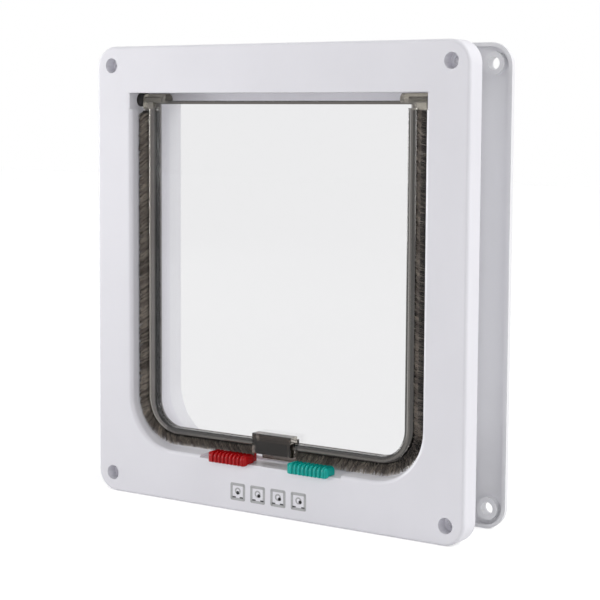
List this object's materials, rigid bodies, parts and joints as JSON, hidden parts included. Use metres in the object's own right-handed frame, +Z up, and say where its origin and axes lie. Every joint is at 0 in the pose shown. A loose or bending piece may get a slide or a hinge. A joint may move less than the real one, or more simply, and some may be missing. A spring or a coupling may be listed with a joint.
{
  "type": "cat flap",
  "caption": "Square framed cat flap with a smoked swing panel, pile edge seals, a magnetic latch, sliding thumb locks in the sill and a telescoping tunnel that clamps a door between its frames.",
  "frame": {"origin": "centre of the room-side frame's four screw holes, in the plane where that frame meets the door", "axes": "+X to the right as the room side is seen, +Y from the room into the door, +Z up"},
  "size_m": [0.235, 0.0527, 0.25],
  "materials": {
    "frame_plastic": "satin white moulding",
    "smoked_plastic": "clear, lightly smoked",
    "pile": "brushed pile",
    "red_plastic": "semi-gloss",
    "green_plastic": "semi-gloss",
    "bush_plastic": "matte black",
    "pin_steel": "drawn wire",
    "magnet_ferrite": "sintered"
  },
  "bodies": {
    "room_frame": {"front_frame": "frame_plastic", "hinge_block_left": "frame_plastic", "hinge_block_right": "frame_plastic", "hinge_bush_left": "bush_plastic", "hinge_bush_right": "bush_plastic", "sill_magnet": "magnet_ferrite"},
    "flap": {"panel": "smoked_plastic", "magnet_clip": "smoked_plastic", "panel_magnet": "magnet_ferrite", "pile_strip_left": "pile", "pile_strip_right": "pile", "hinge_pin_left": "pin_steel", "hinge_pin_right": "pin_steel"},
    "red_slide": {"red_lock": "red_plastic"},
    "green_slide": {"green_lock": "green_plastic"},
    "outer_frame": {"rear_frame": "frame_plastic"}
  },
  "joints": [
    {"name": "flap_swing", "type": "hinge", "parent": "room_frame", "child": "flap", "pos_m": [0, -0.0018, 0.0957], "axis": [1, 0, 0], "range_deg": [-70, 75]},
    {"name": "red_lock_slide", "type": "slide", "parent": "room_frame", "child": "red_slide", "axis": [1, 0, 0], "range_m": [0, 0.011]},
    {"name": "green_lock_slide", "type": "slide", "parent": "room_frame", "child": "green_slide", "axis": [-1, 0, 0], "range_m": [0, 0.011]},
    {"name": "tunnel_slide", "type": "slide", "parent": "room_frame", "child": "outer_frame", "axis": [0, 1, 0], "range_m": [-0.006, 0.005]}
  ]
}
